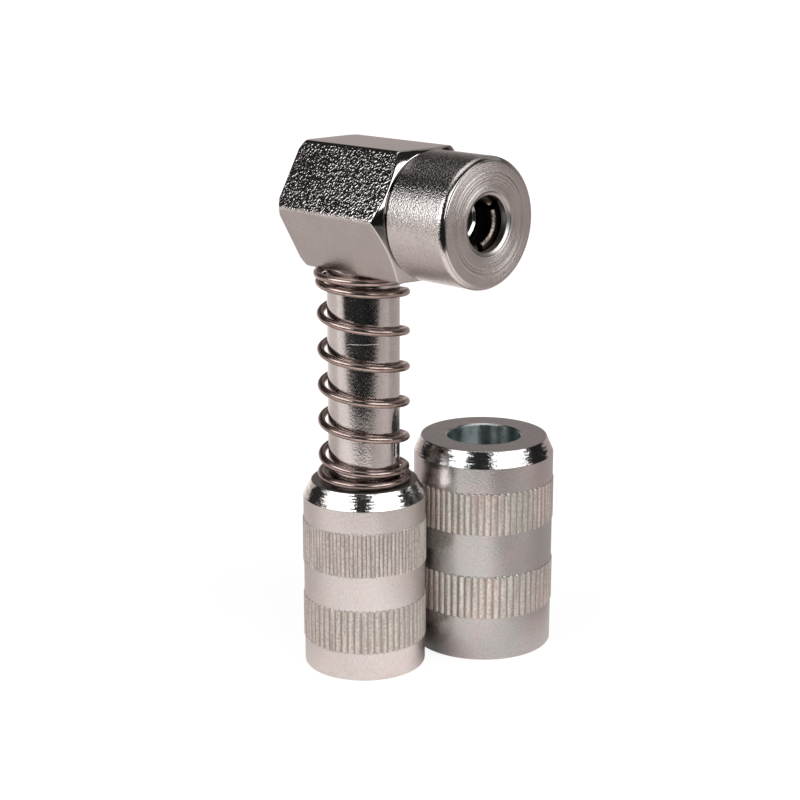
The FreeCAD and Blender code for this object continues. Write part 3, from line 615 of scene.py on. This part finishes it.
def nickel_on_sleeve(name, centre, sleeve, tint, rough, painted_land_shading, stain):
    """Satin plating on a knurled sleeve: cloudy plain bands, ridges painted cream and light on their
    crests, partly as painted highlights, and dark at their feet as painted shade, a bluish streaked
    bore and a bright slanted edge whose normals lean sideways by steps, as the turning tool leaves
    them. The land argument paints light and shade on the top land: below one it darkens the land as
    painted shade, above one it lightens it as painted light. stain is how far the plating's hue
    wanders."""
    finish = Finish(name, tint, 1.0, 0.36)
    distance, angle, height = finish.around(centre)
    top, hole = sleeve["height"], sleeve["hole"]
    chamfer_low = top - sleeve["rise"]
    knurl = finish.attribute("knurl")
    ridge = finish.attribute("ridge")
    within = finish.inside(distance, hole + 0.05, hole + 0.15)
    land = finish.past(height, top - 0.1, top - 0.03)
    chamfer = finish.product(finish.past(height, chamfer_low - 0.05, chamfer_low + 0.1),
                             finish.count("SUBTRACT", 1.0, land),
                             finish.count("SUBTRACT", 1.0, within))

    def toned(share):
        return tuple(share * part for part in tint)

    cloud = finish.noise(0.35, detail=4.0, rough=0.6)
    flecks = finish.noise(4.0, detail=2.0, rough=0.6)
    plain = finish.mixed(finish.span(cloud, 0.3, 0.7), toned(0.93), toned(1.05))
    plain = finish.mixed(finish.span(flecks, 0.45, 0.75), plain, toned(0.8))
    # Painted light and shade on the top land: darkened as painted shade below one, lightened as painted
    # light above one.
    plain = finish.mixed(land, plain, toned(painted_land_shading))

    arc = finish.product(angle, distance)
    specks = finish.noise(2.6, detail=3.0, rough=0.7)
    tooth = finish.noise(1.0, detail=2.0, rough=0.7, place=finish.joined(
        finish.product(arc, 1.5), finish.product(height, 0.1), 0.0))
    tone = finish.count("ADD", finish.product(specks, 0.5), finish.product(tooth, 0.5))
    # Painted highlight and shade on the knurl: the crests are painted light cream, the feet between
    # them painted dark.
    cream_painted_highlight = finish.mixed(finish.span(tone, 0.4, 0.6), (0.53, 0.48, 0.44), (0.97, 0.9, 0.83))
    teeth = finish.mixed(finish.span(ridge, 0.15, 0.75), (0.42, 0.375, 0.335), cream_painted_highlight)

    stains = finish.span(finish.noise(0.16, detail=3.0, rough=0.6), 0.42, 0.58)
    hue = finish.mixed(stains, (1.0 - stain, 1.0 + stain / 3, 1.0 + stain / 6),
                       (1.0 + stain, 1.0 - stain / 3, 1.0))
    surface = finish.mixed(1.0, finish.mixed(knurl, plain, teeth), hue, way="MULTIPLY")
    streaks = finish.tool_rings(height, 0.5, sideways=finish.product(angle, 0.004), rough=0.6)
    bore = finish.mixed(finish.span(streaks, 0.35, 0.65), (0.34, 0.44, 0.46), (0.72, 0.79, 0.8))
    finish.drive("Base Color", finish.mixed(within, surface, bore))
    finish.drive("Metallic", finish.span(knurl, 0.0, 1.0, 1.0, 0.55))

    fine = finish.noise(3.0, detail=2.5, rough=0.6)
    satin = finish.count("ADD", finish.span(cloud, 0.3, 0.7, rough - 0.035, rough + 0.035),
                         finish.product(knurl, 0.06))
    satin = finish.between(within, satin, 0.32)
    finish.drive("Roughness", finish.between(chamfer, satin, finish.span(fine, 0.3, 0.7, 0.1, 0.2)))
    finish.drive("Anisotropic", finish.product(within, 0.95))
    finish.drive("Tangent", finish.joined(0.0, 0.0, 1.0))

    tool_pass = finish.count("FLOOR", finish.count("DIVIDE", height, 0.19 * MILLIMETRE))
    steps = finish.noise(1.0, detail=2.0, rough=0.6, place=finish.joined(
        finish.product(tool_pass, 0.03), finish.product(arc, 0.4), 0.0))
    lean = finish.product(chamfer, finish.span(steps, 0.3, 0.7, -0.11, 0.11))
    sideways = finish.joined(finish.product(finish.count("SINE", angle), lean, -1.0),
                             finish.product(finish.count("COSINE", angle), lean), 0.0)
    turned = finish.add("ShaderNodeVectorTransform", {0: sideways}, vector_type="VECTOR",
                        convert_from="OBJECT", convert_to="WORLD").outputs[0]
    leaning = finish.add("ShaderNodeVectorMath", {0: finish.bump(fine, 0.024), 1: turned},
                         operation="ADD")
    even = finish.add("ShaderNodeVectorMath", {0: leaning.outputs[0]}, operation="NORMALIZE")
    finish.drive("Normal", even.outputs[0])
    return finish.material


def oiled_spring_wire():
    """Brown tempered wire with faint drawing marks."""
    finish = Finish("oiled_spring_wire", (0.26, 0.19, 0.165), 1.0, 0.3)
    cloud = finish.noise(0.7, detail=3.0)
    finish.drive("Base Color", finish.mixed(
        finish.span(cloud, 0.3, 0.7), (0.34, 0.262, 0.238), (0.5, 0.4, 0.368)))
    finish.drive("Roughness", finish.span(cloud, 0.3, 0.7, 0.22, 0.27))
    finish.drive("Normal", finish.bump(finish.noise(3.0, detail=1.0), 0.0015))
    return finish.material


def turned_metal(name, colour, rough, grain):
    """Plain machined metal in clouded tones, with fine marks about 1 / grain millimetres wide."""
    finish = Finish(name, colour, 1.0, rough)
    cloud = finish.noise(0.5, detail=3.0)
    finish.drive("Base Color", finish.mixed(
        finish.span(cloud, 0.3, 0.7), tuple(0.85 * c for c in colour), tuple(1.1 * c for c in colour)))
    finish.drive("Roughness", finish.span(cloud, 0.3, 0.7, rough - 0.05, rough + 0.05))
    finish.drive("Normal", finish.bump(finish.noise(grain, detail=2.0), 0.01))
    return finish.material


def jaw_with_painted_lip_highlight():
    """Dark hardened steel; on one side the lip that takes the fitting is painted pale as a painted
    highlight, and made rough there.
    """
    finish = Finish("hardened_jaw_steel", (0.1, 0.085, 0.065), 1.0, 0.3)
    distance, _, along = finish.around(along_nose=True)
    _, y, z = finish.split(finish.place)
    # Painted highlight: one side of the jaw lip is painted pale where it catches the light.
    painted_lip_highlight = finish.product(finish.inside(distance, 3.42, 3.5), finish.past(along, 23.1, 23.2),
                          finish.past(y, 0.3, 0.6), finish.inside(z, 75.2, 75.6))
    specks = finish.noise(3.0, detail=2.0)
    pale = finish.mixed(finish.span(specks, 0.4, 0.6), (0.3, 0.25, 0.22), (0.85, 0.76, 0.7))
    cloud = finish.noise(0.6, detail=3.0)
    dark = finish.mixed(finish.span(cloud, 0.3, 0.7), (0.05, 0.042, 0.032), (0.13, 0.11, 0.085))
    finish.drive("Base Color", finish.mixed(painted_lip_highlight, dark, pale))
    finish.drive("Roughness", finish.between(painted_lip_highlight, 0.3, 0.5))
    finish.drive("Normal", finish.bump(specks, 0.02))
    return finish.material


def greased_rubber():
    """Dense black rubber, matt in its cup; its rim is glossy with grease and painted pale grey and
    metallic as a painted sheen.
    """
    dry = (0.008, 0.008, 0.009)
    finish = Finish("black_rubber", dry, 0.0, 0.5, IOR=2.4)
    distance, _, _ = finish.around(along_nose=True)
    painted_sheen_rim = finish.past(distance, 2.7, 2.76)
    # Painted sheen: the rim's pale grey metallic colour stands in for the grease's highlight.
    finish.drive("Base Color", finish.mixed(painted_sheen_rim, dry, (0.6, 0.6, 0.6)))
    finish.drive("Roughness", finish.between(painted_sheen_rim, 0.55, 0.08))
    finish.drive("Specular IOR Level", finish.between(painted_sheen_rim, 0.03, 1.0))
    finish.drive("Metallic", finish.product(painted_sheen_rim, 0.85))
    finish.drive("Normal", finish.bump(finish.noise(2.5, detail=2.0), 0.004))
    return finish.material


# Pieces that stand for a node of the model

def dress(piece, body, node, material):
    """Gives a new piece its finish and lets it take the node's place on a body."""
    piece.data.materials.append(material)
    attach(piece, body)
    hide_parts(node)
    return piece


def middle_of(node):
    """Where a node's upright middle line stands, in millimetres."""
    low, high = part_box(node)
    return (low.x + high.x) / 2 / MILLIMETRE, (low.y + high.y) / 2 / MILLIMETRE


def make_head():
    """The hexagon bar across the top."""
    dress(hexagon_head(), "adapter", "head_body", zinc_on_rolled_bar())


def make_nose():
    """The screwed cap, with the cone that closes the jaws, a chamfered mouth and a rounded edge."""
    thread, bore, mouth = 7.9, 6.5, 4.04
    neck, neck_end = 8.9, HEX_FRONT + 0.7
    cone_front = 24.2
    nose = turned_piece("screwed_nose", [
        (HEX_FRONT, thread, 0),
        (HEX_FRONT, neck, 0),
        (neck_end, neck, 0),
        (neck_end, NOSE_RADIUS, 0.12),
        (NOSE_FACE, NOSE_RADIUS, 0.98),
        (NOSE_FACE, MOUTH_EDGE, 0.12),
        (NOSE_FACE - 0.4, mouth, 0.12),
        (cone_front, mouth, 0.05),
        (cone_front, 4.3, 0),
        (CONE_REAR, bore, 0.1),
        (CAP_REAR, bore, 0),
        (CAP_REAR, thread, 0),
    ], columns=192, steps=8, along_nose=True)
    dress(nose, "adapter", "nose_cap", zinc_on_turned_nose())


def make_seal():
    """The rubber tip on its spigot: a shallow cup whose rim slants inwards."""
    spigot, outside = 2.22, 3.2
    cup_floor, rim = 19.22, 20.1
    seal = turned_piece("cupped_seal", [
        (CONE_REAR, spigot, 0),
        (CONE_REAR, outside, 0.05),
        (rim, outside, 0.04),
        (rim, outside - 0.07, 0.03),
        (rim - 0.22, outside - 0.38, 0.2),
        (cup_floor + 0.03, 1.2, 0),
        (cup_floor, 1.2, 0),
        (cup_floor, spigot, 0),
    ], columns=96, steps=6, along_nose=True)
    dress(seal, "adapter", "grease_seal", greased_rubber())


def make_stem():
    """The turned bar, with the nipple's socket, a groove for the stop ring and a spigot."""
    socket, socket_end = 3.14, 22.3
    passage, spigot = 1.5, 4.5
    groove, groove_low, groove_high = 5.05, 24.73, 25.97
    spigot_end = SPOTFACE_FLOOR + 4.2
    stem = turned_piece("turned_stem", [
        (STEM_END, socket, 0),
        (STEM_END, STEM_RADIUS, 0.3),
        (groove_low, STEM_RADIUS, 0.06),
        (groove_low, groove, 0.05),
        (groove_high, groove, 0.05),
        (groove_high, STEM_RADIUS, 0.06),
        (SPOTFACE_FLOOR, STEM_RADIUS, 0.05),
        (SPOTFACE_FLOOR, spigot, 0.05),
        (spigot_end, spigot, 0.1),
        (spigot_end, passage, 0.05),
        (socket_end + 0.98, passage, 0),
        (socket_end, socket, 0),
    ], columns=144)
    dress(stem, "adapter", "stem", zinc_on_stem())


def make_sleeve_spring():
    """Left-hand wound: closed at the top and the bottom, five open turns between, its end turns a
    little wider. The sleeve presses it up against the head."""
    half = SPRING_WIRE / 2
    top = HEAD_HEIGHT - HEX_FLATS / 2 - half - 0.02
    bottom = LOCKING["height"] + half + 0.02
    second_turn, pitch = 56.4, 5.57
    marks = [(-0.45, top, 0.45), (-0.15, top - 0.03, 0.48), (0, 62.64, 0.5), (0.6, 62.0, 0.4),
             (1, 61.38, 0.25), (1.5, 59.8, 0.06)]
    marks += [(turn, second_turn - pitch * (turn - 2), 0.06) for turn in (2, 3, 4, 5, 6)]
    marks += [(6.25, 32.55, 0), (6.6, 31.88, 0), (6.8, 31.5, 0.1), (7.1, 30.95, 0.25),
              (7.3, bottom, 0.3), (7.58, bottom, 0.3)]
    marks = [(turn, height, SPRING_COIL + wider) for turn, height, wider in marks]
    points, faces = round_tube(wound_path(marks, SPRING_START, 60), half, 16)
    spring = put_in_mesh("sleeve_spring_wire", points, faces)
    dress(spring, "adapter", "sleeve_spring", oiled_spring_wire())
    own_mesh(spring)


def make_inner_spring(node, wire, turns, along_nose):
    """A small even coil in the place of its node, laid along the head's axis when along_nose is set."""
    low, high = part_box(node)
    start, end = (low.x, high.x) if along_nose else (low.z, high.z)
    start, end = start / MILLIMETRE, end / MILLIMETRE
    half = wire / 2
    coil = (high.y - low.y) / 2 / MILLIMETRE - half
    marks = [(0, start + half, coil), (turns, end - half, coil)]
    path = wound_path(marks, -90 if along_nose else 0, 40)
    points, faces = round_tube(path, half, 12)
    if along_nose:
        points = lay_on_nose_axis(points)
    spring = put_in_mesh(node + "_wire", points, faces)
    dress(spring, "adapter", node, oiled_spring_wire())
    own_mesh(spring)


def crossed_combs(turn, teeth, shift):
    """Ridges rolled twice with one tooth's difference, so that they run in and out of step."""
    return np.minimum(comb(turn, teeth), comb(turn, teeth + 1, shift) * 0.6 + 0.4)


def make_locking_sleeve():
    """The sleeve on the stem, its lower band coarse and uneven, its upper band fine."""
    bands = [
        (4.31, 11.59, 0.15, 0.1, lambda turn: crossed_combs(turn, 57, 0.9)),
        (16.83, 24.05, 0.15, 0.05, lambda turn: comb(turn, 90)),
    ]
    sleeve = knurled_sleeve("knurled_locking_sleeve", LOCKING, bands, (0, 0))
    # Its top land is darkened as painted shade from the head and spring above it.
    finish = nickel_on_sleeve("nickel_on_locking_sleeve", (0, 0), LOCKING, (0.775, 0.735, 0.718),
                              rough=0.36, painted_land_shading=0.4, stain=0.015)
    dress(sleeve, "locking_sleeve", "locking_sleeve", finish)


def make_spare_sleeve():
    """The wider loose sleeve, its lower band even, its upper band uneven."""
    centre = middle_of("spare_sleeve")
    bands = [
        (6.96, 14.14, 0.15, 0.1, lambda turn: comb(turn, 61)),
        (20.87, 27.81, 0.15, 0.1, lambda turn: crossed_combs(turn, 66, 0.5)),
    ]
    sleeve = knurled_sleeve("knurled_spare_sleeve", SPARE, bands, centre)
    # Its top land is lightened as painted light.
    finish = nickel_on_sleeve("nickel_on_spare_sleeve", centre, SPARE, (0.53, 0.514, 0.509),
                              rough=0.27, painted_land_shading=1.16, stain=0.034)
    dress(sleeve, "spare_sleeve", "spare_sleeve", finish)


def finish_nodes():
    """The nodes that keep their shape get these finishes."""
    steel = turned_metal("turned_steel", (0.45, 0.43, 0.41), 0.3, 3.0)
    jaw = jaw_with_painted_lip_highlight()
    ball = turned_metal("ball_steel", (0.62, 0.61, 0.6), 0.1, 6.0)
    copper = turned_metal("annealed_copper", (0.72, 0.38, 0.25), 0.35, 3.0)
    ring = turned_metal("bright_spring_wire", (0.4, 0.38, 0.36), 0.3, 4.0)
    finishes = {
        "seal_holder": steel, "coupler_nipple": steel, "jaw_washer": steel,
        "jaw_1": jaw, "jaw_2": jaw, "jaw_3": jaw,
        "check_ball": ball, "nipple_ball": ball, "sealing_washer": copper, "stop_ring": ring,
    }
    for node, material in finishes.items():
        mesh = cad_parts[node].data
        mesh.materials.clear()
        mesh.materials.append(material)


# Studio

CAMERA_PLACE = (186.814, -177.329, 112.478)
CAMERA_AIM = (-0.68546, 0.67943, -0.26178)
# Level directions from the stem: towards the camera, and to the photograph's left
AHEAD = np.array([0.7102, -0.704, 0.0])
LEFT = np.array([-0.704, -0.7102, 0.0])


def shown_to_mirrors_only(piece):
    """Hides a studio card from the camera, from matt surfaces and from shadows."""
    piece.visible_camera = False
    piece.visible_diffuse = False
    piece.visible_shadow = False
    piece.visible_transmission = False


def make_floor():
    """A pale floor that stays white to the camera and keeps the object's shadow. Mirrors see it glowing
    with painted light and shade: a painted pool of light in front, a painted shadow of the head beside
    the object, painted contact shadows between the sleeves and under the spare sleeve, painted dimming
    to the right and far to the left, and the dark past a straight front edge."""
    side = 4000.0  # From the middle to each edge
    corners = np.array([(-side, -side, 0), (side, -side, 0), (side, side, 0), (-side, side, 0)], float)
    floor = put_in_mesh("studio_floor", corners, [[0, 1, 2, 3]])
    material = bpy.data.materials.new("pale_floor")
    graph = Graph(material)
    place = graph.add("ShaderNodeTexCoord").outputs["Object"]
    ahead = graph.along(place, AHEAD)
    left = graph.along(place, LEFT)
    from_middle = graph.far_from(ahead, left, 0.0, 0.0)
    path = graph.add("ShaderNodeLightPath")

    matt = graph.add("ShaderNodeBsdfDiffuse", {"Color": (0.3, 0.3, 0.3, 1)})
    seen = graph.product(path.outputs["Is Camera Ray"],
                         graph.eased(from_middle, 40.0, 130.0, 0.84, 1.0))
    glow = graph.add("ShaderNodeEmission", {"Strength": seen})
    plain = graph.add("ShaderNodeAddShader", {0: matt.outputs[0], 1: glow.outputs[0]})

    # Painted light and shade on the floor as mirrors see it: dimmer to the right and far to the left, a
    # pool of light in front.
    painted_dim_right = graph.eased(left, -52.0, -18.0, 0.5, 1.0)
    painted_dim_far_right = graph.eased(left, -450.0, -120.0, 0.8, 1.0)
    painted_dim_far_left = graph.eased(left, 50.0, 200.0, 1.0, 0.75)
    painted_light_in_front = graph.product(graph.eased(ahead, -15.0, 25.0, 1.0, 1.3),
                             graph.eased(ahead, 40.0, 115.0, 1.0, 0.85))
    # Painted shadow of the head on the floor beside the object.
    painted_head_shadow = graph.eased(graph.far_from(ahead, left, -35.0, 60.0), 25.0, 150.0, 0.58, 1.0)
    slant = graph.count("MAXIMUM", graph.product(left, -0.24), 0.0)
    edge = graph.eased(graph.count("SUBTRACT", ahead, slant), 106.0, 130.0, 1.0, 0.02)
    # Painted contact shadow on the floor where the two sleeves nearly touch.
    between = graph.eased(graph.far_from(ahead, left, -4.0, -9.0), 2.0, 12.0, 0.2, 1.0)
    # Painted shadow on the floor under the spare sleeve, dark inside its cup.
    spare = np.array([*middle_of("spare_sleeve"), 0.0])
    painted_shadow_under_spare = graph.eased(graph.far_from(ahead, left, float(spare @ AHEAD), float(spare @ LEFT)),
                          9.0, 10.5, 0.06, 1.0)
    level = graph.product(edge, painted_dim_right, painted_dim_far_right, painted_dim_far_left, painted_light_in_front, painted_head_shadow, between, painted_shadow_under_spare)
    warm = graph.mixed(level, (1.0, 0.83, 0.79), (1.0, 0.93, 0.9))
    tint = graph.mixed(graph.eased(level, 0.02, 0.3), (0.95, 1.0, 1.0), warm)
    mirrored = graph.add("ShaderNodeEmission", {"Color": tint, "Strength": graph.product(level, 1.15)})
    both = graph.add("ShaderNodeMixShader", {
        0: path.outputs["Is Glossy Ray"], 1: plain.outputs[0], 2: mirrored.outputs[0]})
    graph.add("ShaderNodeOutputMaterial", {"Surface": both.outputs[0]})
    floor.data.materials.append(material)


def card(name, points, colour, strength, top_strength=None):
    """A glowing card that only mirrors see, from a grid of points; its glow may change evenly from
    the lowest row to the highest."""
    rows, columns = points.shape[:2]
    row = np.arange(rows - 1)[:, None]
    column = np.arange(columns - 1)[None, :]
    base = row * columns + column
    faces = np.stack([base, base + 1, base + columns + 1, base + columns], -1).reshape(-1, 4)
    piece = put_in_mesh(name, points.reshape(-1, 3), faces.tolist())
    material = bpy.data.materials.new(name)
    graph = Graph(material)
    if top_strength is not None:
        place = graph.add("ShaderNodeTexCoord").outputs["Object"]
        strength = graph.eased(graph.along(place, (0, 0, 1)), float(points[0, 0, 2]),
                               float(points[-1, 0, 2]), strength, top_strength)
    glow = graph.add("ShaderNodeEmission", {"Color": (*colour, 1), "Strength": strength})
    graph.add("ShaderNodeOutputMaterial", {"Surface": glow.outputs[0]})
    piece.data.materials.append(material)
    shown_to_mirrors_only(piece)


def dome_card(name, azimuths, elevations, colour, strength, top_strength=None):
    """A patch of a large ball round the object, between two azimuths, counted from the camera's
    side with the photograph's left positive, and two elevations."""
    radius, middle_height = 900.0, 40.0
    azimuth = np.radians(np.linspace(*azimuths, 25))[None, :, None]
    elevation = np.radians(np.linspace(*elevations, 9))[:, None, None]
    along = AHEAD * np.cos(azimuth) + LEFT * np.sin(azimuth)
    points = radius * (along * np.cos(elevation) + np.array([0, 0, 1]) * np.sin(elevation))
    card(name, points + [0, 0, middle_height], colour, strength, top_strength)


def wall_card(name, azimuths, heights, colour, strength, distance):
    """An upright strip of a drum round the object, between two azimuths and two heights."""
    azimuth = np.radians(np.linspace(*azimuths, 25))[None, :, None]
    height = np.array(heights, float)[:, None, None]
    along = AHEAD * np.cos(azimuth) + LEFT * np.sin(azimuth)
    card(name, distance * along + height * np.array([0, 0, 1]), colour, strength)


def make_world():
    """White to the camera, a soft light on matt pieces, and a dark room in mirrors."""
    world = bpy.data.worlds.new("studio")
    bpy.context.scene.world = world
    graph = Graph(world)
    path = graph.add("ShaderNodeLightPath")
    level = graph.between(path.outputs["Is Glossy Ray"], 0.36, 0.024)
    level = graph.between(path.outputs["Is Camera Ray"], level, 1.0)
    background = graph.add("ShaderNodeBackground", {"Color": (1, 1, 1, 1), "Strength": level})
    graph.add("ShaderNodeOutputWorld", {"Surface": background.outputs[0]})


def soft_light(name, azimuth, distance, heights, wide, glow):
    """An upright rectangular soft box that faces the stem; glow is how bright it looks."""
    turn = math.radians(azimuth)
    away = AHEAD * math.cos(turn) + LEFT * math.sin(turn)
    lamp = bpy.data.lights.new(name, "AREA")
    lamp.shape = "RECTANGLE"
    lamp.size = wide * MILLIMETRE
    lamp.size_y = (heights[1] - heights[0]) * MILLIMETRE
    lamp.energy = glow * math.pi * lamp.size * lamp.size_y
    holder = bpy.data.objects.new(name, lamp)
    bpy.context.scene.collection.objects.link(holder)
    place = away * distance + np.array([0, 0, sum(heights) / 2])
    holder.location = (place * MILLIMETRE).tolist()
    holder.rotation_mode = "QUATERNION"
    holder.rotation_quaternion = Vector((-away).tolist()).to_track_quat("-Z", "Y")


def make_camera():
    """The photograph's viewpoint."""
    lens = bpy.data.cameras.new("studio_camera")
    lens.sensor_width = 36.0
    lens.lens = 77.92
    lens.clip_start = 0.01
    lens.clip_end = 50
    camera = bpy.data.objects.new("studio_camera", lens)
    bpy.context.scene.collection.objects.link(camera)
    camera.location = [value * MILLIMETRE for value in CAMERA_PLACE]
    camera.rotation_mode = "QUATERNION"
    camera.rotation_quaternion = Vector(CAMERA_AIM).to_track_quat("-Z", "Y")
    bpy.context.scene.camera = camera


make_head()
make_nose()
make_seal()
make_stem()
make_sleeve_spring()
make_inner_spring("jaw_spring", 1.0, 5, True)
make_inner_spring("check_spring", 0.25, 4, True)
make_inner_spring("nipple_spring", 0.2, 4, False)
make_locking_sleeve()
make_spare_sleeve()
finish_nodes()

make_floor()
make_world()
dome_card("pale_ceiling", (-180, 180), (57, 89), (1.0, 0.97, 0.95), 0.4, 1.5)
dome_card("dim_wall_behind", (184, 250), (28, 53), (1.0, 0.95, 0.93), 0.35)
dome_card("grey_backdrop", (130, 235), (-2, 28), (1.0, 0.88, 0.85), 0.62, 0.12)
wall_card("left_reflector", (79, 91), (82, 172), (1.0, 0.97, 0.95), 0.66, 150)
soft_light("left_soft_box", 53, 133, (82, 172), 134, 3.2)
soft_light("right_soft_box", -50, 150, (84, 178), 170, 3.0)
make_camera()

bpy.context.scene.view_settings.view_transform = "Standard"
